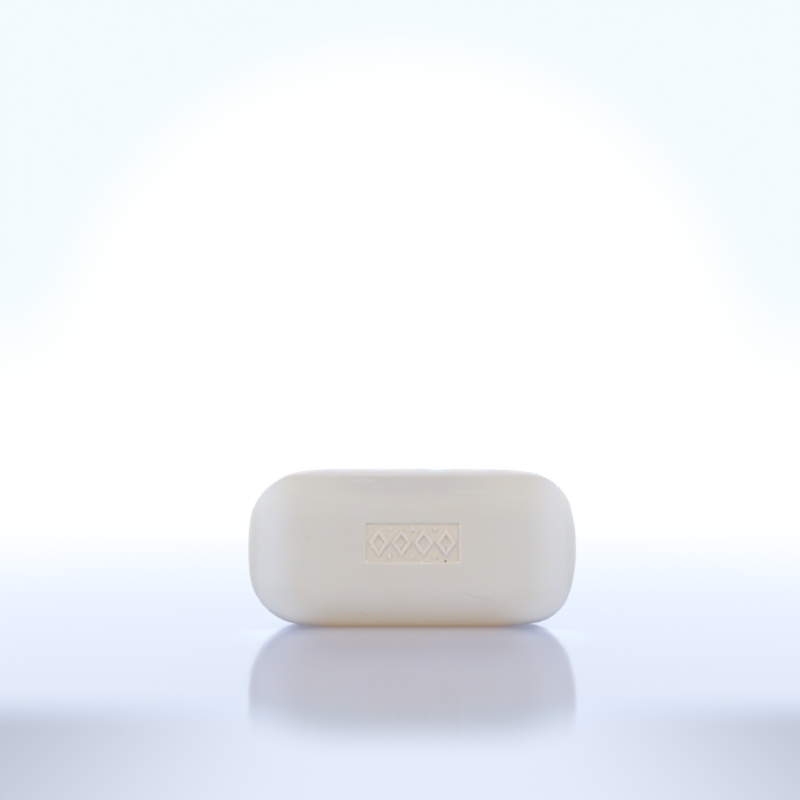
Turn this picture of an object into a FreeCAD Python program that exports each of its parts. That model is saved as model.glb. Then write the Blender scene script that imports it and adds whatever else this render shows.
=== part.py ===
import FreeCAD, Part
import math
import os

# A pressed bar of toilet soap, in millimetres.
# It stands on its long narrow side: X is its length, Y its thickness and Z points up.
# The front face looks along -Y. The origin is the middle of the side that it stands on.

# Outline, seen from the front
bar_length = 90.0
bar_width = 42.7
flat_run = 40.0  # straight stretch in the middle of each long side, which the bar stands on
shoulder_radius = 94.0  # slow bend from that stretch towards the corner
left_corner_radius = 15.5
left_end_radius = 68.0
right_corner_radius = 12.0
right_end_radius = 42.0
corner_limit = 0.8  # largest corner radius, over half the bar's width

# Section: a flat band round the bar, a tight bend, then a slow bend onto each broad face
bar_thickness = 28.0
edge_reach = 11.5  # from the outline to where the broad face runs flat
tight_radius = 5.8
slow_bend_angle = 32.0  # degrees that the slow bend turns through
reach_limit = 0.97  # largest reach, over the smallest corner radius
tight_limit = 0.8  # largest tight radius, over the reach
cap_limit = 0.8  # largest height of the bends, over half the thickness

# Sunken panel of the front face
panel_length = 26.0
panel_height = 11.1
panel_depth = 0.55
panel_rise = 2.1  # its centre above the middle of the face
panel_corner_radius = 0.6
die_draft = 28.0  # degrees, on every wall that the die has to leave

# Raised row of hollow lozenges with small studs between them, inside the panel and level with the face
lozenge_count = 4
lozenge_height = 7.4
lozenge_gap = 0.8  # between neighbours
lozenge_margin = 1.3  # from the panel's end walls
stroke_width = 0.85
stud_length = 1.1
stud_height = 1.4
stud_inset = 1.9  # from the panel's long walls to each stud's centre

die_run_out = 0.4  # length by which the die's solids run past the face

mid_height = bar_width / 2
face_y = -bar_thickness / 2
draft_slope = math.tan(math.radians(die_draft))
die_depths = (face_y - die_run_out, face_y + panel_depth)  # from just outside the face to the panel's floor
X_AXIS = FreeCAD.Vector(1, 0, 0)
Y_AXIS = FreeCAD.Vector(0, 1, 0)
Z_AXIS = FreeCAD.Vector(0, 0, 1)


def point(x, z, y=0.0):
    return FreeCAD.Vector(x, y, z)


def arc(start, middle, end):
    return Part.Arc(start, middle, end).toShape()


def along(centre, target, radius):
    """The point at this radius from a centre, on the ray through the target."""
    ray = target - centre
    return centre + ray * (radius / ray.Length)


def corner_centre(shoulder_centre, end_centre, to_shoulder, to_end):
    """Where the corner arc is centred, so that it is tangent to the shoulder arc and the end arc."""
    gap = end_centre - shoulder_centre
    reach = (to_shoulder**2 - to_end**2 + gap.Length**2) / (2 * gap.Length)
    rise = math.sqrt(to_shoulder**2 - reach**2)
    direction = gap * (1 / gap.Length)
    sideways = point(direction.z, -direction.x)
    return shoulder_centre + direction * reach + sideways * rise


def quarter(corner_radius, end_radius):
    """The outline's upper right quarter about the bar's middle: (centre, start, end) of its three arcs."""
    corner = min(corner_radius, corner_limit * mid_height)
    run_end = point(flat_run / 2, mid_height)
    tip = point(bar_length / 2, 0)
    shoulder_centre = run_end - Z_AXIS * shoulder_radius
    end_centre = tip - X_AXIS * end_radius
    centre = corner_centre(
        shoulder_centre, end_centre, shoulder_radius - corner, end_radius - corner
    )
    shoulder_end = along(shoulder_centre, centre, shoulder_radius)
    corner_end = along(end_centre, centre, end_radius)
    return [
        (shoulder_centre, run_end, shoulder_end),
        (centre, shoulder_end, corner_end),
        (end_centre, corner_end, tip),
    ]


def outline_arcs():
    """The arcs of all four quarters, as (centre, start, end, turn). Turn is 1 or -1 about the Y axis."""
    arcs = []
    for x_side, corner_radius, end_radius in (
        (1, right_corner_radius, right_end_radius),
        (-1, left_corner_radius, left_end_radius),
    ):
        for z_side in (1, -1):
            for points in quarter(corner_radius, end_radius):
                placed = [point(p.x * x_side, mid_height + p.z * z_side) for p in points]
                arcs.append((*placed, x_side * z_side))
    return arcs


def outline_face(inset):
    """The flat area inside the outline, drawn in by an inset."""
    edges = []
    for centre, start, end, turn in outline_arcs():
        radius = (start - centre).Length - inset
        inner_start = along(centre, start, radius)
        inner_end = along(centre, end, radius)
        middle = along(centre, (start + end) * 0.5, radius)
        edges.append(arc(inner_start, middle, inner_end))
    for z_side in (1, -1):
        z = mid_height + z_side * (mid_height - inset)
        edges.append(Part.makeLine(point(-flat_run / 2, z), point(flat_run / 2, z)))
    return Part.Face(Part.Wire(Part.__sortEdges__(edges)))


def bends():
    """The reach and the two radii of the section, kept within the outline's corners and the thickness."""
    smallest_corner = min(left_corner_radius, right_corner_radius, corner_limit * mid_height)
    reach = min(edge_reach, reach_limit * smallest_corner)
    tight = min(tight_radius, tight_limit * reach)
    angle = math.radians(slow_bend_angle)
    height = tight + (reach - tight) * math.tan(angle / 2)
    scale = min(1.0, cap_limit * bar_thickness / 2 / height)
    slow = tight + (reach - tight) / math.sin(angle)
    return reach * scale, tight * scale, slow * scale


def rim_section(start, inward):
    """The section of the rim at a point of the outline, from the outline to where the faces run flat."""
    reach, tight, slow = bends()
    angle = math.radians(slow_bend_angle)
    band_y = bar_thickness / 2 - tight - (reach - tight) * math.tan(angle / 2)
    slow_middle = angle / 2
    tight_middle = (angle + math.pi / 2) / 2

    def at(inside, y):
        return start + inward * inside + Y_AXIS * y

    def on_slow(turned):
        return reach - slow * math.sin(turned), bar_thickness / 2 - slow * (1 - math.cos(turned))

    def on_tight(turned):
        return tight * (1 - math.sin(turned)), band_y + tight * math.cos(turned)

    edges = [Part.makeLine(at(0, -band_y), at(0, band_y))]
    for side in (1, -1):
        band_end = at(0, side * band_y)
        joint_inside, joint_y = on_tight(angle)
        joint = at(joint_inside, side * joint_y)
        tight_inside, tight_y = on_tight(tight_middle)
        slow_inside, slow_y = on_slow(slow_middle)
        face_start = at(reach, side * bar_thickness / 2)
        edges.append(arc(band_end, at(tight_inside, side * tight_y), joint))
        edges.append(arc(joint, at(slow_inside, side * slow_y), face_start))
    edges.append(Part.makeLine(at(reach, -bar_thickness / 2), at(reach, bar_thickness / 2)))
    return Part.Face(Part.Wire(Part.__sortEdges__(edges)))


def rounded_bar():
    """The bar before its panel: a flat-faced core, and the rim's section carried round the outline."""
    reach = bends()[0]
    core = outline_face(reach).extrude(Y_AXIS * bar_thickness)
    core.translate(Y_AXIS * face_y)
    rims = []
    for centre, start, end, turn in outline_arcs():
        inward = (centre - start).normalize()
        degrees = math.degrees((start - centre).getAngle(end - centre))
        rims.append(rim_section(start, inward).revolve(centre, Y_AXIS, turn * degrees))
    for z_side in (1, -1):
        start = point(-flat_run / 2, mid_height + z_side * mid_height)
        rims.append(rim_section(start, Z_AXIS * -z_side).extrude(X_AXIS * flat_run))
    return core.fuse(rims).removeSplitter()


def rounded_rectangle(length, height, radius, y):
    """A rectangle with round corners, centred on the panel, at one depth."""
    straight_x = length / 2 - radius
    straight_z = height / 2 - radius
    spread = radius * math.sqrt(0.5)
    centre_z = mid_height + panel_rise
    corners = []
    for x_side, z_side in ((1, 1), (-1, 1), (-1, -1), (1, -1)):
        x = x_side * straight_x
        z = centre_z + z_side * straight_z
        on_end = point(x + x_side * radius, z, y)
        on_side = point(x, z + z_side * radius, y)
        middle = point(x + x_side * spread, z + z_side * spread, y)
        first, last = (on_end, on_side) if x_side == z_side else (on_side, on_end)
        corners.append((first, middle, last))
    edges = []
    for index, (first, middle, last) in enumerate(corners):
        edges.append(arc(first, middle, last))
        next_first = corners[(index + 1) % len(corners)][0]
        edges.append(Part.makeLine(last, next_first))
    return Part.Wire(edges)


def lozenge_wire(x, z, half_length, half_height, y):
    """A lozenge standing on its point, at one depth."""
    tips = [
        point(x + half_length, z, y),
        point(x, z + half_height, y),
        point(x - half_length, z, y),
        point(x, z - half_height, y),
    ]
    return Part.makePolygon(tips + tips[:1])


def lozenge_prism(x, z, half_length, half_height, inset, side):
    """A drafted lozenge, drawn in by an inset. Its side is 1 where it widens inwards, -1 where it narrows."""
    slant = math.hypot(half_length, half_height)
    wires = []
    for y in die_depths:
        offset = side * (y - face_y) * draft_slope - inset
        grow_x = offset * slant / half_height
        grow_z = offset * slant / half_length
        wires.append(lozenge_wire(x, z, half_length + grow_x, half_height + grow_z, y))
    return Part.makeLoft(wires, True, True)


def lozenge_ring(x, z, half_length):
    """One raised lozenge of the row, with its hollow middle."""
    outer = lozenge_prism(x, z, half_length, lozenge_height / 2, 0.0, 1)
    inner = lozenge_prism(x, z, half_length, lozenge_height / 2, stroke_width, -1)
    return outer.cut(inner)


def raised_row():
    """The solids that the die leaves standing inside the panel."""
    free_length = panel_length - 2 * lozenge_margin - (lozenge_count - 1) * lozenge_gap
    half_length = free_length / lozenge_count / 2
    pitch = 2 * half_length + lozenge_gap
    first_x = -pitch * (lozenge_count - 1) / 2
    centre_z = mid_height + panel_rise
    stud_rise = panel_height / 2 - stud_inset
    solids = []
    for index in range(lozenge_count):
        solids.append(lozenge_ring(first_x + index * pitch, centre_z, half_length))
    for index in range(lozenge_count - 1):
        x = first_x + (index + 0.5) * pitch
        for z in (centre_z - stud_rise, centre_z + stud_rise):
            solids.append(lozenge_prism(x, z, stud_length / 2, stud_height / 2, 0.0, 1))
    return solids


def panel_cutter():
    """What the die presses out of the front face: a drafted panel, less the raised row."""
    wires = []
    for y in die_depths:
        narrowing = (y - face_y) * draft_slope
        length = panel_length - 2 * narrowing
        height = panel_height - 2 * narrowing
        wires.append(rounded_rectangle(length, height, panel_corner_radius - narrowing / 2, y))
    cutter = Part.makeLoft(wires, True, True)
    for solid in raised_row():
        cutter = cutter.cut(solid)
    return cutter


soap_bar = rounded_bar().cut(panel_cutter())

os.makedirs("parts", exist_ok=True)
soap_bar.exportStep("parts/soap_bar.step")
print(
    "soap_bar:",
    "valid" if soap_bar.isValid() else "NOT VALID",
    len(soap_bar.Solids),
    "solid,",
    round(soap_bar.Volume / 1000, 2),
    "cm3",
    soap_bar.BoundBox,
)
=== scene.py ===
# %% [markdown]
# # A pressed bar of soap
# A bar of toilet soap starts as a warm, extruded billet. Two halves of a die close on it and press it to shape,
# so it leaves the die as one piece: two broad faces, a flat band round the edge where the halves met, and a shallow
# sunken panel. This lesson makes that one piece as a single mesh, gives it a waxy finish that lets light in,
# and stands it on a glossy floor.
#
# The imported model is loaded first. It holds the true size and stays where it is. Its box is noted before anything
# is added, and the finished bar is built to stay inside it.

# %% Load the imported bar
import math

import bpy
import numpy as np
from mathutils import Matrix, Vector, noise


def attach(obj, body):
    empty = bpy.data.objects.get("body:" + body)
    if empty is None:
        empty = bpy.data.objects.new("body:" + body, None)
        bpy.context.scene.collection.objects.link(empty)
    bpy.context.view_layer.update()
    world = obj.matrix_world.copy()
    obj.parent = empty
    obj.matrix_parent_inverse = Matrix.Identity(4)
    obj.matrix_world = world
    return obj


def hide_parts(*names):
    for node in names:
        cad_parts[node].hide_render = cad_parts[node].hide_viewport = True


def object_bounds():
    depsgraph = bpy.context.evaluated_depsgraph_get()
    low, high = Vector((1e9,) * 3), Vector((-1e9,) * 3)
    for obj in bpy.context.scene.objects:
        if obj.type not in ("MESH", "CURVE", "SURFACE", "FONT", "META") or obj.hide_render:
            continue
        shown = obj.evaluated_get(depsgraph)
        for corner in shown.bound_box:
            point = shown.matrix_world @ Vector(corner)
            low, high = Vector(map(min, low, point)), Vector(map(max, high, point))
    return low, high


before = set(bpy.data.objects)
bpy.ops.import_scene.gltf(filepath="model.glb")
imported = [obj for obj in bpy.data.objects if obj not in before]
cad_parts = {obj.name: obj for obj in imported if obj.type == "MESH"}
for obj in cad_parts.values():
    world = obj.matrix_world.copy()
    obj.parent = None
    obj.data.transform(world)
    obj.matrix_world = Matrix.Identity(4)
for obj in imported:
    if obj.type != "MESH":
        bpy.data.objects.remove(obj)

cad_low, cad_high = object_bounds()
length, thickness, width = cad_high - cad_low
print("The bar measures", [round(side * 1000, 2) for side in (length, thickness, width)], "mm")

# %% [markdown]
# ## The camera
# A low, level camera about half a metre away looks straight at the broad face. A long lens keeps the ends of the
# bar from looking stretched. The camera is made early, so that every later step can be looked at through it.

# %% Place the camera
mm = 0.001
camera_place = (-3.34 * mm, -480 * mm, 62.06 * mm)
camera_lens = 77.7  # on a sensor 36 mm wide

camera_data = bpy.data.cameras.new("camera")
camera_data.lens = camera_lens
camera_data.sensor_width = 36.0
camera_data.clip_start = 10 * mm
camera_data.clip_end = 20.0
camera = bpy.data.objects.new("camera", camera_data)
camera.location = camera_place
camera.rotation_euler = (math.radians(90), 0, 0)
bpy.context.scene.collection.objects.link(camera)
bpy.context.scene.camera = camera
print("The camera stands", round(-camera_place[1], 3), "m in front of the bar")

# %% [markdown]
# ## The outline
# Seen from the front, each long side is straight in the middle, then bends slowly, then turns a corner and runs
# into the slightly bulging end. A drawing office would draw this with arcs that touch each other smoothly. The left
# end of this bar is rounder than the right end, so each end has its own two radii. The middle of the outline is at
# half the bar's width.

# %% Draw a quarter of the outline with three arcs
half_length = length / 2
half_width = width / 2
half_thickness = thickness / 2
half_run = 20.0 * mm
shoulder_radius = 94.0 * mm
left_radii = (15.5 * mm, 68.0 * mm)  # corner, end
right_radii = (12.0 * mm, 42.0 * mm)


def quarter(corner_radius, end_radius):
    """The arcs of an upper right quarter, as (centre, radius, first angle, last angle), from the run to the tip."""
    shoulder = np.array([half_run, half_width - shoulder_radius])
    end = np.array([half_length - end_radius, 0.0])
    span = np.hypot(*(end - shoulder))
    to_shoulder = shoulder_radius - corner_radius
    to_end = end_radius - corner_radius
    reach = (to_shoulder**2 - to_end**2 + span**2) / (2 * span)
    rise = math.sqrt(to_shoulder**2 - reach**2)
    along = (end - shoulder) / span
    across = np.array([along[1], -along[0]])
    corner = shoulder + along * reach + across * rise
    turn_one = math.atan2(*(corner - shoulder)[::-1])
    turn_two = math.atan2(*(corner - end)[::-1])
    return [
        (shoulder, shoulder_radius, math.pi / 2, turn_one),
        (corner, corner_radius, turn_one, turn_two),
        (end, end_radius, turn_two, 0.0),
    ]


arcs = {1: quarter(*right_radii), -1: quarter(*left_radii)}


def arc_lengths(side):
    return [radius * (first - last) for _, radius, first, last in arcs[side]]


print("Arc lengths of the right and left quarters:",
      [[round(one / mm, 1) for one in arc_lengths(side)] for side in (1, -1)], "mm")

# %% [markdown]
# ## Distance from the edge
# The rim has the same section all the way round, so the height of the surface depends on one thing: how far a
# point lies inside the outline. A point is nearest to the arc whose fan of radii it lies in, which makes that
# distance quick to work out for every vertex at once.

# %% Measure how deep a point lies inside the outline


def depth_inside(x, z):
    """The distance from the outline, for places given from the middle of the broad face."""
    across, up = np.abs(x), np.abs(z)
    depth = np.where(across <= half_run, half_width - up, np.inf)
    tiny = 1e-9
    for side, quarter_arcs in arcs.items():
        for centre, radius, first, last in quarter_arcs:
            dx, dz = across - centre[0], up - centre[1]
            angle = np.arctan2(dz, dx)
            inside_fan = (x * side >= 0) & (angle <= first + tiny) & (angle >= last - tiny)
            depth = np.where(inside_fan, np.minimum(depth, radius - np.hypot(dx, dz)), depth)
    return np.maximum(depth, 0.0)


# %% [markdown]
# ## The section of the rim
# From the flat band the surface turns a tight bend, then a slow one, and then runs flat. A tight bend alone would
# look like a machined block; the slow bend is what makes the shoulders look soft.

# %% Work out the height of the surface from that distance
edge_reach = 11.5 * mm
tight_radius = 5.8 * mm
slow_angle = math.radians(32)
slow_radius = tight_radius + (edge_reach - tight_radius) / math.sin(slow_angle)
band_half = half_thickness - tight_radius - (edge_reach - tight_radius) * math.tan(slow_angle / 2)
joint_depth = tight_radius * (1 - math.sin(slow_angle))


def face_height(depth):
    """How far the broad face stands from the middle of the bar's thickness."""
    on_tight = band_half + np.sqrt(np.maximum(tight_radius**2 - (tight_radius - depth) ** 2, 0))
    left = np.clip(edge_reach - depth, 0, slow_radius)
    on_slow = half_thickness - slow_radius + np.sqrt(slow_radius**2 - left**2)
    return np.where(depth < joint_depth, on_tight, on_slow)


print("The flat band is", round(2 * band_half / mm, 2), "mm wide")

# %% [markdown]
# ## The sunken panel
# The die presses a shallow panel into the front face and leaves a border of raised lozenges with small studs
# between them. Their tops are level with the face. Soap is soft when it is pressed, so every wall leans a little
# and every edge is round. A smooth step between the two levels gives both.

# %% Describe the panel and its raised row
panel_size = np.array([26.0, 11.1]) * mm
panel_rise = 2.1 * mm
panel_depth = 0.55 * mm
panel_corner = 0.6 * mm
lozenge_count = 4
lozenge_half = np.array([2.625, 3.7]) * mm
lozenge_pitch = 6.05 * mm
stroke_width = 0.85 * mm
stud_half = np.array([0.55, 0.7]) * mm
stud_rise = 3.65 * mm
wall_run = 0.42 * mm  # breadth over which a wall of the row falls from its top to the floor
panel_wall_run = 0.65 * mm  # the same for the panel's own walls


def smooth(value, low, high):
    """0 below low, 1 above high, with a soft start and stop."""
    t = np.clip((value - low) / (high - low), 0, 1)
    return t * t * (3 - 2 * t)


def inside_rectangle(x, z, size, corner):
    """The distance inside a rectangle with round corners, negative outside."""
    dx = np.abs(x) - (size[0] / 2 - corner)
    dz = np.abs(z) - (size[1] / 2 - corner)
    outside = np.hypot(np.maximum(dx, 0), np.maximum(dz, 0)) + np.minimum(np.maximum(dx, dz), 0)
    return corner - outside


def inside_lozenge(x, z, half):
    return (half[0] * half[1] - np.abs(x) * half[1] - np.abs(z) * half[0]) / np.hypot(*half)


def sunken(x, z):
    """1 on the floor of the panel, 0 on the face and on the raised row."""
    z = z - panel_rise
    floor = smooth(inside_rectangle(x, z, panel_size, panel_corner), 0, panel_wall_run)
    raised = np.zeros_like(floor)
    for index in range(lozenge_count):
        offset = (index - (lozenge_count - 1) / 2) * lozenge_pitch
        from_stroke = np.abs(inside_lozenge(x - offset, z, lozenge_half) - stroke_width / 2)
        half = stroke_width / 2
        raised = np.maximum(raised, 1 - smooth(from_stroke, half - wall_run / 4, half + wall_run * 0.65))
    for index in range(lozenge_count - 1):
        offset = (index - (lozenge_count - 2) / 2) * lozenge_pitch
        for side in (1, -1):
            inside = inside_lozenge(x - offset, z - side * stud_rise, stud_half)
            raised = np.maximum(raised, smooth(inside, -wall_run / 2, wall_run / 3))
    return floor * (1 - raised)


# %% [markdown]
# ## A grid for each broad face
# The middle of each face is an even grid of four-sided cells. The cells are small across the panel, so that its
# walls come out clean, and grow towards the edge of the grid. The grid stops well inside the outline, and rings
# of cells then lead from it out to the edge. Modellers like this layout because the cells follow the form
# everywhere and never shrink to a point.

# %% Space the columns and rows of the grid
cell = 0.165 * mm
coarse_cell = 0.60 * mm
grid_half = np.array([34.0, 9.5]) * mm


def even(start, stop):
    count = round((stop - start) / cell)
    return np.linspace(start, stop, count + 1)


def growing(start, stop):
    """Places from start to stop, whose steps grow from the fine cell to the coarse one."""
    count = math.ceil(2 * abs(stop - start) / (cell + coarse_cell))
    steps = np.linspace(cell, coarse_cell, count)
    return start + (stop - start) * np.cumsum(steps) / steps.sum()


def graded(low, high, fine_low, fine_high):
    below = growing(fine_low, low)[::-1]
    above = growing(fine_high, high)
    return np.concatenate([below, even(fine_low, fine_high), above])


columns = graded(-grid_half[0], grid_half[0], -panel_size[0] / 2, panel_size[0] / 2)
rows = graded(-grid_half[1], grid_half[1], panel_rise - panel_size[1] / 2, panel_rise + panel_size[1] / 2)
print("Grid of", len(columns) - 1, "by", len(rows) - 1, "cells on each broad face")

# %% [markdown]
# ## Rings from the grid to the edge
# Each vertex on the border of the grid gets a partner on the outline, and the rings are the points between the two.
# The rings crowd together near the outline, where the surface bends most. Round the band they only carry the
# outline from the front to the back.

# %% Pair the border of the grid with the outline
end_slope = 1.3  # how fast partners move apart near the tip of an end, over the step in the grid


def walk(side, distance):
    """Points on the arcs of a quarter, at these distances from the straight run."""
    x, z = np.zeros_like(distance), np.zeros_like(distance)
    passed = 0.0
    for (centre, radius, first, _), arc_length in zip(arcs[side], arc_lengths(side)):
        here = distance >= passed - 1e-9
        angle = first - (distance - passed) / radius
        x = np.where(here, centre[0] + radius * np.cos(angle), x)
        z = np.where(here, centre[1] + radius * np.sin(angle), z)
        passed += arc_length
    return x, z


def partner(x, z, on_end):
    """The place on the outline that belongs to each place on the border of the grid."""
    side = 1 if x.sum() > 0 else -1
    shoulder, corner, end = arc_lengths(side)
    if on_end:
        total = corner / 2 + end
        share = np.abs(z) / grid_half[1]
        start = end_slope * grid_half[1]
        distance = shoulder + corner + end - (start * share + (total - start) * share**2)
    else:
        total = shoulder + corner / 2
        start = grid_half[0] - half_run
        share = (np.abs(x) - half_run) / start
        distance = start * share + (total - start) * share**2
    px, pz = walk(side, distance)
    return side * px, np.sign(z) * pz


def border_and_partners():
    """Both loops, counted the same way round: bottom, right, top and left."""
    low, high = rows[0], rows[-1]
    left, right = columns[0], columns[-1]
    loops = []
    sides = [
        (columns[:-1], np.full(len(columns) - 1, low), False),
        (np.full(len(rows) - 1, right), rows[:-1], True),
        (columns[:0:-1], np.full(len(columns) - 1, high), False),
        (np.full(len(rows) - 1, left), rows[:0:-1], True),
    ]
    for x, z, on_end in sides:
        outer_x, outer_z = x.copy(), np.sign(z) * half_width
        for side in (1, -1):
            group = (x * side > 0) if on_end else (x * side > half_run)
            if group.any():
                outer_x[group], outer_z[group] = partner(x[group], z[group], on_end)
        loops.append(np.stack([x, z, outer_x, outer_z], axis=1))
    loops = np.concatenate(loops)
    return loops[:, :2], loops[:, 2:]


border, outline = border_and_partners()
print("Vertices round the outline:", len(outline))

# %% Build the loops that run from the front grid, round the band, to the back grid
tight_steps = 13
slow_steps = 15
band_places = np.array([-1, -0.7, -0.4, -0.18, -0.09, -0.04, 0, 0.04, 0.09, 0.18, 0.4, 0.7, 1])


def rim_loops():
    """Places in the plane of the outline, one loop after another, from its edge in to the grid."""
    turns = np.linspace(0, math.pi / 2 - slow_angle, tight_steps + 1)
    tight = tight_radius * (1 - np.cos(turns))
    inward = border - outline
    reach = np.hypot(*inward.T)
    inward = inward / reach[:, None]
    loops = [outline + inward * step for step in tight]
    for index in range(1, slow_steps):
        distance = joint_depth + (reach - joint_depth) * index / slow_steps
        loops.append(outline + inward * distance[:, None])
    return loops


def face_y(places, side):
    return side * face_height(depth_inside(places[:, 0], places[:, 1]))


def with_y(places, y):
    return np.stack([places[:, 0], y, places[:, 1]], axis=1)


rims = rim_loops()
sleeve = [with_y(loop, face_y(loop, -1)) for loop in rims[:0:-1]]
sleeve += [with_y(outline, np.full(len(outline), place * band_half)) for place in band_places]
sleeve += [with_y(loop, face_y(loop, 1)) for loop in rims[1:]]
print("Loops round the bar:", len(sleeve))

# %% [markdown]
# ## Join the grids and the loops
# The vertices are numbered so that the loops share the borders of both grids. That makes one closed skin with no
# seam to weld.

# %% Make the closed skin
grid_x, grid_z = np.meshgrid(columns, rows)
grid_places = np.stack([grid_x.ravel(), grid_z.ravel()], axis=1)
grid_index = np.arange(len(grid_places)).reshape(grid_x.shape)
front = with_y(grid_places, face_y(grid_places, -1))
back = with_y(grid_places, face_y(grid_places, 1))
vertices = np.concatenate([front, back] + sleeve)


def border_index(index):
    return np.concatenate([index[0, :-1], index[:-1, -1], index[-1, :0:-1], index[:0:-1, 0]])


def quads(near, far):
    """Four-sided cells between two rows of vertex numbers."""
    return np.stack([near[:-1], near[1:], far[1:], far[:-1]], axis=1)


def closed(loop):
    return np.append(loop, loop[0])


back_index = grid_index + len(front)
first_loop = len(front) + len(back)
loop_count = len(outline)
loops = [border_index(grid_index)]
loops += [first_loop + number * loop_count + np.arange(loop_count) for number in range(len(sleeve))]
loops += [border_index(back_index)]

cells = [quads(grid_index[row], grid_index[row + 1]) for row in range(len(rows) - 1)]
cells += [quads(back_index[row + 1], back_index[row]) for row in range(len(rows) - 1)]
cells += [quads(closed(far), closed(near)) for near, far in zip(loops[:-1], loops[1:])]
cells = np.concatenate(cells)

vertices[:, 2] += half_width
skin = bpy.data.meshes.new("pressed_soap")
skin.from_pydata(vertices.tolist(), [], cells.tolist())
skin.validate()
skin.shade_smooth()
print("The skin has", len(skin.polygons), "cells")

# %% [markdown]
# ## Small unevenness
# A pressed bar is never perfectly even. Its faces wander by a tenth of a millimetre, the top edge has shallow
# dents from handling, and a faint line runs round the middle of the band where the die halves met. Each of these
# only takes a little away, so the bar keeps its true size, and only the seam reaches the side that it stands on.

# %% Take the unevenness away from the skin
wander = 0.10 * mm
wander_size = 16.0 * mm
dents = [(7.6, 5.0, 0.30), (-8.0, 6.0, 0.12), (19.0, 4.0, 0.10), (-19.0, 5.0, 0.14)]  # place, half length, depth
seam_depth = 0.09 * mm
seam_half = 0.45 * mm
calm_height = 4.0 * mm  # no unevenness below this height


def noise_field(places, size, seed):
    shift = Vector((seed, seed * 0.37, seed * 0.71))
    return np.array([noise.noise(Vector(place) / size + shift) for place in places])


normals = np.empty(len(vertices) * 3)
skin.vertex_normals.foreach_get("vector", normals)
normals = normals.reshape(-1, 3)

middle_z = vertices[:, 2] - half_width
calm = smooth(vertices[:, 2], 0.5 * mm, calm_height)
on_band = smooth(np.abs(vertices[:, 1]), tight_radius + band_half, band_half)
slow_wander = wander * (0.5 + 0.5 * np.clip(noise_field(vertices, wander_size, 3.1) * 1.6, -1, 1))
top_edge = smooth(vertices[:, 2], width - 4 * mm, width - 0.5 * mm)
dented = np.zeros(len(vertices))
for dent_x, dent_half, dent_depth in dents:
    reach = np.abs(vertices[:, 0] / mm - dent_x) / dent_half
    dented += dent_depth * mm * (1 - smooth(reach, 0, 1))
seam = seam_depth * (1 - smooth(np.abs(vertices[:, 1]), 0, seam_half)) * (on_band > 0.5)
taken = calm * (slow_wander + top_edge * dented) + seam
vertices = vertices - normals * taken[:, None]

sink = panel_depth * sunken(vertices[:, 0], middle_z) * (vertices[:, 1] < -band_half)
vertices[:, 1] += sink
skin.vertices.foreach_set("co", vertices.ravel())
skin.update()
print("The deepest unevenness takes", round(taken.max() / mm, 3), "mm")

# %% [markdown]
# ## The piece itself
# The skin replaces the plain packed bar, which is hidden. It rides on the one body that there is.

# %% Place the bar
soap = bpy.data.objects.new("pressed_soap", skin)
bpy.context.scene.collection.objects.link(soap)
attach(soap, "root")
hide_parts("soap_bar")

# %% [markdown]
# ## Helpers for the finishes
# A finish is a small graph of nodes. These helpers add a node with its settings and join it to the one before, so
# that a finish reads from top to bottom like a recipe.

# %% Make nodes in one line each


def fresh_material(name):
    material = bpy.data.materials.new(name)
    material.use_nodes = True
    material.node_tree.nodes.clear()
    return material, material.node_tree


def add(tree, kind, settings=None, **inputs):
    """Adds a node. An input may be a value or the socket that feeds it."""
    node = tree.nodes.new(kind)
    for key, value in (settings or {}).items():
        setattr(node, key, value)
    for key, value in inputs.items():
        socket = node.inputs[int(key[1:])] if key[1:].isdigit() else node.inputs[key.replace("_", " ")]
        if isinstance(value, bpy.types.NodeSocket):
            tree.links.new(value, socket)
        else:
            socket.default_value = value
    return node


def maths(tree, operation, first, second=0.0):
    return add(tree, "ShaderNodeMath", {"operation": operation}, i0=first, i1=second).outputs[0]


def soft_step(tree, value, low, high):
    """0 at low and 1 at high, smoothly. Low may be above high."""
    settings = {"interpolation_type": "SMOOTHSTEP"}
    return add(tree, "ShaderNodeMapRange", settings, i0=value, i1=low, i2=high).outputs[0]


def tint(tree, factor, first, second):
    settings = {"data_type": "RGBA"}
    return add(tree, "ShaderNodeMix", settings, i0=factor, i6=first, i7=second).outputs[2]


def speckle(tree, place, scale, detail=2.0, roughness=0.5):
    settings = {"noise_dimensions": "3D"}
    made = add(tree, "ShaderNodeTexNoise", settings, Vector=place, Scale=scale, Detail=detail, Roughness=roughness)
    return made.outputs[0]


# %% [markdown]
# ## The soap's body colour
# Soap is pale and waxy. Its colour drifts a little between ivory and a cooler white. Light and shade are painted
# into the colour as well. The ends and the lower outer corners are painted lighter, as painted light. Across the
# middle, below the top edge, the face gets a painted grey shade, and the top edge itself a painted highlight. The
# floor of the panel is painted warmer, as painted shade in the recess. The foot is painted a darker amber, a painted
# shade for light that has to travel a long way through the bar to reach the eye, and it is given a faint painted
# glow. Each of these is a mask, made from the place on the bar, that blends one colour into the next.

# %% Mix the body colour, with painted light and shade
ivory = (0.765, 0.715, 0.645, 1)
cool_ivory = (0.770, 0.730, 0.680, 1)
lit_end_ivory = (0.783, 0.757, 0.698, 1)
worn_and_lit_white = (0.830, 0.822, 0.810, 1)
edge_highlight_white = (0.887, 0.856, 0.838, 1)
tip_ivory = (0.772, 0.755, 0.700, 1)
shaded_grey_ivory = (0.715, 0.680, 0.645, 1)
lit_corner_white = (0.900, 0.872, 0.828, 1)
recess_shade_ivory = (0.820, 0.742, 0.643, 1)
foot_shade_amber = (0.745, 0.580, 0.380, 1)
foot_height = 10.0 * mm
glow_height = 2.7 * mm

soap_finish, tree = fresh_material("soap_finish")
place = add(tree, "ShaderNodeTexCoord").outputs["Object"]
place_x, place_y, place_z = add(tree, "ShaderNodeSeparateXYZ", None, i0=place).outputs[:3]


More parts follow.
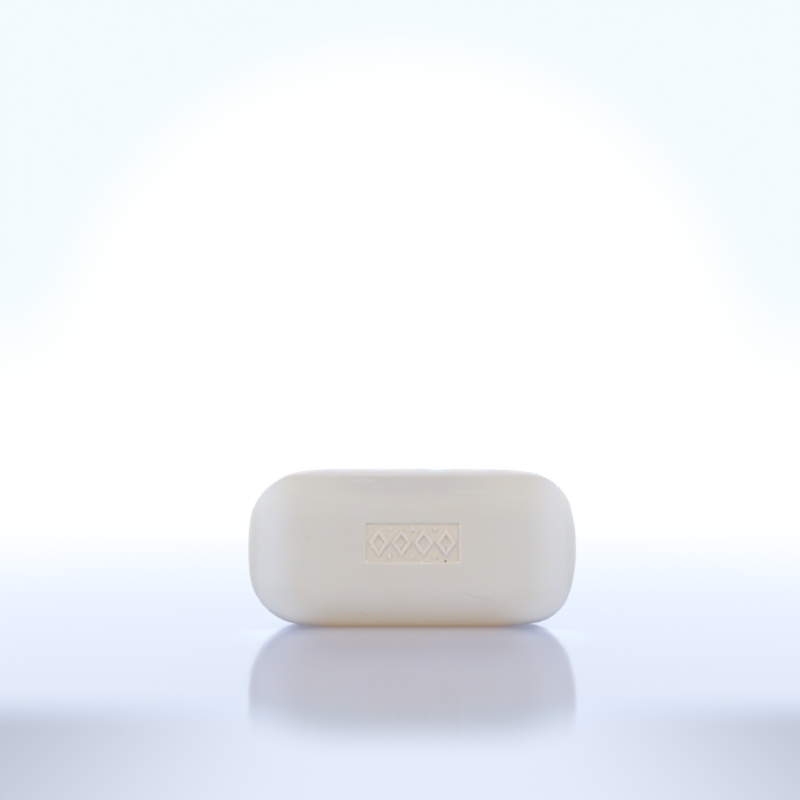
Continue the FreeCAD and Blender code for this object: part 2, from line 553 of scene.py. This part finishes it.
def band_mask(tree, value, middle, half, edge):
    """1 within half of the middle, 0 beyond, with a soft edge."""
    offset = maths(tree, "ABSOLUTE", maths(tree, "SUBTRACT", value, middle))
    return soft_step(tree, offset, half + edge / 2, half - edge / 2)


def both(tree, first, second):
    return maths(tree, "MULTIPLY", first, second)


clouds = speckle(tree, place, 55.0, 2.0)
colour = tint(tree, soft_step(tree, clouds, 0.3, 0.7), ivory, cool_ivory)

from_middle = maths(tree, "ABSOLUTE", place_x)
# Painted light: the face turns lighter and cooler towards both ends, as if lit from the sides.
colour = tint(tree, both(tree, soft_step(tree, from_middle, 12 * mm, 28 * mm), 0.6), colour, lit_end_ivory)
# Painted light: the ends are painted a lighter white, and the very tips are toned back to a plainer ivory.
left_end = soft_step(tree, place_x, -29 * mm, -38.5 * mm)
right_end = both(tree, soft_step(tree, place_x, 29 * mm, 38.5 * mm), 0.85)
tips = soft_step(tree, from_middle, 40.5 * mm, 43.5 * mm)
# Painted shade: a greyer band across the middle of the face, below the top edge.
upper_shade = both(
    tree,
    soft_step(tree, place_z, 33 * mm, 39 * mm),
    soft_step(tree, from_middle, 26 * mm, 8 * mm),
)
# Painted highlight: a lighter white strip along the top edge.
top_edge_highlight = soft_step(tree, place_z, width - 1.9 * mm, width - 0.6 * mm)
colour = tint(tree, maths(tree, "MAXIMUM", left_end, right_end), colour, worn_and_lit_white)
colour = tint(tree, tips, colour, tip_ivory)
colour = tint(tree, upper_shade, colour, shaded_grey_ivory)
colour = tint(tree, top_edge_highlight, colour, edge_highlight_white)

# Whitish rubbing on the upper half is wear; it shares its white with the painted light at the ends.
stretched = add(tree, "ShaderNodeVectorMath", {"operation": "MULTIPLY"}, i0=place, i1=(0.18, 1.0, 2.6)).outputs[0]
rubbed = soft_step(tree, speckle(tree, stretched, 420.0, 3.0), 0.52, 0.72)
rubbed = both(tree, rubbed, soft_step(tree, place_z, 26 * mm, 38 * mm))
colour = tint(tree, both(tree, rubbed, 0.22), colour, worn_and_lit_white)

on_front = soft_step(tree, place_y, -band_half, -band_half - 1 * mm)
in_panel = both(
    tree,
    band_mask(tree, place_x, 0.0, panel_size[0] / 2, 0.2 * mm),
    band_mask(tree, place_z, half_width + panel_rise, panel_size[1] / 2, 0.2 * mm),
)
sunk = soft_step(tree, place_y, -half_thickness + 0.12 * mm, -half_thickness + 0.48 * mm)
panel_floor = both(tree, both(tree, in_panel, sunk), on_front)
# Painted shade: the floor of the panel is painted warmer, for the shade in the recess.
colour = tint(tree, panel_floor, colour, recess_shade_ivory)

# Painted shade: the foot is painted a darker amber, for light that has to travel a long way through the bar.
near_foot = maths(tree, "SUBTRACT", 1.0, maths(tree, "DIVIDE", place_z, foot_height))
near_foot = maths(tree, "POWER", maths(tree, "MAXIMUM", near_foot, 0.0), 2.0)
outwards = soft_step(tree, from_middle, 20 * mm, 36 * mm)
inwards = soft_step(tree, from_middle, 36 * mm, 20 * mm)
# Painted light: the lower outer corners are painted lighter.
lit_lower_corner = both(tree, outwards, soft_step(tree, place_z, 11 * mm, 2 * mm))
colour = tint(tree, lit_lower_corner, colour, lit_corner_white)
colour = tint(tree, both(tree, near_foot, inwards), colour, foot_shade_amber)
# Painted light: a faint amber glow given off by the foot of the bar.
foot_glow_mask = both(tree, soft_step(tree, place_z, glow_height, 0.0), inwards)
glow = tint(tree, foot_glow_mask, (0, 0, 0, 1), (0.11, 0.055, 0.0, 1))

# %% [markdown]
# ## Marks of use and painted highlights
# A bar that has been handled carries small marks: a dark speck by the panel, a reddish one further out, a hairline
# scratch below and a few pale scuffs and nicks. The pale nicks along the lower edge of the panel are partly painted
# highlights, and a painted highlight runs down the right wall of the panel. A speck is a soft disc round a point. A
# scratch is a chain of short lines, and its mask is the distance to the nearest of them. All are read on the front
# face, from above the mesh's own cells, so that they stay fine however close the eye comes.

# %% Add specks, scratches, scuffs and painted highlights
flat_place = add(tree, "ShaderNodeCombineXYZ", None, i0=place_x, i2=place_z).outputs[0]


def on_face(x, z):
    return (x * mm, 0.0, z * mm)


def disc(x, z, radius):
    """A soft disc on the front face. Places and sizes are in millimetres."""
    settings = {"operation": "DISTANCE"}
    away = add(tree, "ShaderNodeVectorMath", settings, i0=flat_place, i1=on_face(x, z)).outputs["Value"]
    return both(tree, soft_step(tree, away, radius * mm, radius * 0.3 * mm), on_front)


def vector(operation, first, second):
    return add(tree, "ShaderNodeVectorMath", {"operation": operation}, i0=first, i1=second)


def chain(points, half):
    """A thin line through points on the front face, in millimetres."""
    nearest = 1.0
    for start, stop in zip(points[:-1], points[1:]):
        step = Vector(on_face(*stop)) - Vector(on_face(*start))
        offset = vector("SUBTRACT", flat_place, on_face(*start)).outputs[0]
        share = vector("DOT_PRODUCT", offset, tuple(step / step.length_squared)).outputs["Value"]
        share = add(tree, "ShaderNodeClamp", None, i0=share).outputs[0]
        foot = add(tree, "ShaderNodeVectorMath", {"operation": "SCALE"}, i0=tuple(step), i3=share).outputs[0]
        nearest = maths(tree, "MINIMUM", nearest, vector("DISTANCE", offset, foot).outputs["Value"])
    return both(tree, soft_step(tree, nearest, half * mm, 0.0), on_front)


def blend_marks(masks, strength, colour, mark_colour):
    for mask in masks:
        colour = tint(tree, both(tree, mask, strength), colour, mark_colour)
    return colour


hairline = chain([(14.0, 10.3), (15.0, 9.5), (16.3, 9.05), (17.6, 8.75), (19.5, 8.45), (21.3, 7.9)], 0.13)
short_scratch = chain([(-14.3, 4.1), (-13.3, 4.3), (-12.5, 3.8), (-11.8, 3.75)], 0.16)
faint_scratch = chain([(-28.3, 24.8), (-27.1, 25.3), (-26.0, 25.4)], 0.14)
scuffs = [
    chain([(21.2, 25.2), (21.9, 25.0), (22.3, 24.3)], 0.3),
    chain([(23.9, 21.6), (24.2, 20.8), (24.8, 20.3)], 0.3),
    chain([(-16.4, 39.9), (-13.0, 40.4), (-10.5, 40.0)], 0.5),
    chain([(-11.0, 38.6), (-8.5, 38.9)], 0.4),
]
# Pale nicks on the lower edge of the panel, partly painted highlights where its wall catches the light.
pale_nicks_and_highlights = [
    disc(-12.2, 18.5, 0.55),
    disc(12.4, 18.3, 0.5),
    disc(2.6, 18.2, 0.4),
]
faint_nicks = [disc(-1.7, 11.2, 0.35), disc(-1.7, 7.8, 0.35)]
colour = blend_marks([hairline, short_scratch], 0.45, colour, (0.42, 0.37, 0.30, 1))
colour = blend_marks([faint_scratch, disc(-28.3, 24.8, 0.42)], 0.42, colour, (0.66, 0.46, 0.33, 1))
# Painted highlight: a light line down the right wall of the panel.
wall_highlight = chain([(13.0, 18.9), (13.0, 28.9)], 0.16)
colour = blend_marks(scuffs, 0.28, colour, (0.86, 0.86, 0.84, 1))
colour = blend_marks([wall_highlight], 0.8, colour, (0.88, 0.86, 0.83, 1))
colour = blend_marks(pale_nicks_and_highlights, 0.85, colour, (0.90, 0.90, 0.88, 1))
colour = blend_marks(faint_nicks, 0.45, colour, (0.90, 0.90, 0.88, 1))
colour = blend_marks([disc(8.95, 18.5, 0.36)], 1.0, colour, (0.05, 0.03, 0.02, 1))

# %% [markdown]
# ## The waxy surface
# Light goes a few millimetres into soap before it comes out again, and red goes furthest. Subsurface scattering
# gives that, and it softens the edges of the panel. The skin that the die left is fairly smooth, so the rim catches
# the light at a glance. A fine grain varies the roughness and lifts the surface by a few hundredths of a millimetre.

# %% Join colour, grain and gloss
grain = speckle(tree, place, 900.0, 2.0)
fine_grain = speckle(tree, place, 3200.0, 2.0)
roughness = add(tree, "ShaderNodeMapRange", None, i0=grain, i1=0.3, i2=0.7, i3=0.285, i4=0.335).outputs[0]
relief = maths(tree, "ADD", maths(tree, "MULTIPLY", clouds, 3.0), maths(tree, "ADD", grain, fine_grain))
for scratch in (hairline, short_scratch):
    relief = maths(tree, "SUBTRACT", relief, scratch)
facing = soft_step(tree, maths(tree, "ABSOLUTE", place_y), band_half, band_half + 3 * mm)
relief = both(tree, relief, facing)
bump = add(tree, "ShaderNodeBump", None, Strength=0.05, Distance=0.03 * mm, Height=relief).outputs[0]

shader = add(
    tree,
    "ShaderNodeBsdfPrincipled",
    {"subsurface_method": "RANDOM_WALK"},
    Base_Color=colour,
    Roughness=roughness,
    IOR=1.46,
    Subsurface_Weight=1.0,
    Subsurface_Radius=(1.0, 0.8, 0.65),
    Subsurface_Scale=1.6 * mm,
    # The emission is the painted amber glow at the foot.
    Emission_Color=glow,
    Emission_Strength=1.0,
    Normal=bump,
)
add(tree, "ShaderNodeOutputMaterial", None, Surface=shader.outputs[0])
soap.data.materials.append(soap_finish)
print("The soap's finish has", len(tree.nodes), "nodes")

# %% [markdown]
# ## The floor
# The floor is a pale glossy board. Close to the bar it mirrors it, a little blurred, and far away it melts into
# the white behind. It is part of the set.

# %% Lay the floor
floor_half = 6.0
fade_centre = (0, -200 * mm, 0)
fade_near = 230 * mm
fade_far = 650 * mm
polish_near = 137 * mm
polish_far = 184 * mm
polish_rounding = 26 * mm

floor_mesh = bpy.data.meshes.new("floor")
corners = [(-floor_half, -floor_half, 0), (floor_half, -floor_half, 0), (floor_half, floor_half, 0), (-floor_half, floor_half, 0)]
floor_mesh.from_pydata(corners, [], [(0, 1, 2, 3)])
floor = bpy.data.objects.new("floor", floor_mesh)
bpy.context.scene.collection.objects.link(floor)

floor_finish, tree = fresh_material("floor_finish")
place = add(tree, "ShaderNodeTexCoord").outputs["Object"]
streaks = speckle(tree, place, 40.0, 2.0)
ray = add(tree, "ShaderNodeLightPath")
seen = maths(tree, "MAXIMUM", ray.outputs["Is Camera Ray"], ray.outputs["Is Glossy Ray"])
seen = maths(tree, "MAXIMUM", seen, ray.outputs["Is Transmission Ray"])
board_colour = tint(tree, streaks, (0.45, 0.46, 0.54, 1), (0.47, 0.48, 0.56, 1))
floor_x, floor_y = add(tree, "ShaderNodeSeparateXYZ", None, i0=place).outputs[:2]
aside = maths(tree, "ABSOLUTE", floor_x)
from_foot = maths(tree, "MULTIPLY", floor_y, -1.0)
# Painted light: a brighter, bluer pool of glow on the floor just in front of the bar's foot.
light_pool_by_foot = both(
    tree,
    both(tree, soft_step(tree, from_foot, 8 * mm, 17 * mm), soft_step(tree, from_foot, 50 * mm, 20 * mm)),
    soft_step(tree, aside, 52 * mm, 34 * mm),
)
far_glow = soft_step(tree, floor_y, -110 * mm, -148 * mm)
board_glow = tint(tree, far_glow, (0.65, 0.70, 1.0, 1), (0.62, 0.92, 1.30, 1))
board_glow = tint(tree, both(tree, light_pool_by_foot, seen), board_glow, (0.95, 1.14, 1.50, 1))
board = add(
    tree,
    "ShaderNodeBsdfPrincipled",
    None,
    Base_Color=board_colour,
    Metallic=0.7,
    Roughness=0.11,
    IOR=1.8,
    Emission_Color=board_glow,
    Emission_Strength=0.165,
)
away = add(tree, "ShaderNodeVectorMath", {"operation": "DISTANCE"}, i0=place, i1=fade_centre).outputs["Value"]
fade = soft_step(tree, away, fade_near, fade_far)
white = add(tree, "ShaderNodeEmission", None, Color=(1, 1, 1, 1), Strength=1.0)
rounding = both(tree, soft_step(tree, aside, 14 * mm, 42 * mm), polish_rounding)
unpolished = soft_step(tree, maths(tree, "SUBTRACT", rounding, floor_y), polish_near, polish_far)
# Painted shade: the floor is painted darker towards its front corners, on either side of the bar.
corner = both(tree, soft_step(tree, aside, 15 * mm, 90 * mm), soft_step(tree, floor_y, -310 * mm, -215 * mm))
corner = both(tree, corner, soft_step(tree, aside, 150 * mm, 92 * mm))
pale_colour = tint(tree, corner, (0.78, 0.83, 0.97, 1), (0.51, 0.55, 0.66, 1))
pale = add(tree, "ShaderNodeEmission", None, Color=pale_colour, Strength=1.0)
mixed = add(
    tree,
    "ShaderNodeMixShader",
    None,
    i0=maths(tree, "MULTIPLY", unpolished, seen),
    i1=board.outputs[0],
    i2=pale.outputs[0],
)
mixed = add(
    tree,
    "ShaderNodeMixShader",
    None,
    i0=maths(tree, "MULTIPLY", fade, seen),
    i1=mixed.outputs[0],
    i2=white.outputs[0],
)
add(tree, "ShaderNodeOutputMaterial", None, Surface=mixed.outputs[0])
floor.data.materials.append(floor_finish)

# %% [markdown]
# ## Backdrop and light
# The bar stands in front of a white sweep that is lit from behind. What the camera and the reflections see is that
# white, turning faintly blue away from the middle. What lights the bar is kept apart from it: softer from the front,
# brighter and a little cooler from behind and from the sides.

# %% Light the set
world = bpy.data.worlds.new("studio")
world.use_nodes = True
tree = world.node_tree
tree.nodes.clear()
direction = add(tree, "ShaderNodeTexCoord").outputs["Generated"]
axes = add(tree, "ShaderNodeSeparateXYZ", None, i0=direction)
behind = axes.outputs[1]
above = axes.outputs[2]

vignette = maths(tree, "MULTIPLY", soft_step(tree, behind, 0.9845, 0.974), soft_step(tree, above, 0.0, 0.08))
camera_colour = tint(tree, vignette, (1, 1, 1, 1), (0.885, 0.96, 0.99, 1))
mirrored_colour = tint(tree, soft_step(tree, behind, 0.95, 0.6), (0.985, 1.055, 1.11, 1), (0.70, 0.78, 0.92, 1))
round_about = tint(tree, soft_step(tree, behind, -0.80, 0.10), (1.94, 1.90, 1.74, 1), (2.14, 2.28, 2.62, 1))
lit_colour = tint(tree, soft_step(tree, above, 0.10, 0.75), round_about, (0.40, 0.40, 0.42, 1))
ray = add(tree, "ShaderNodeLightPath")
seen_colour = tint(tree, ray.outputs["Is Camera Ray"], mirrored_colour, camera_colour)
seen = maths(tree, "MAXIMUM", ray.outputs["Is Camera Ray"], ray.outputs["Is Glossy Ray"])
seen = maths(tree, "MAXIMUM", seen, ray.outputs["Is Transmission Ray"])
sky = add(tree, "ShaderNodeBackground", None, Color=tint(tree, seen, lit_colour, seen_colour), Strength=1.0)
add(tree, "ShaderNodeOutputWorld", None, Surface=sky.outputs[0])
bpy.context.scene.world = world

bpy.context.scene.view_settings.view_transform = "Standard"
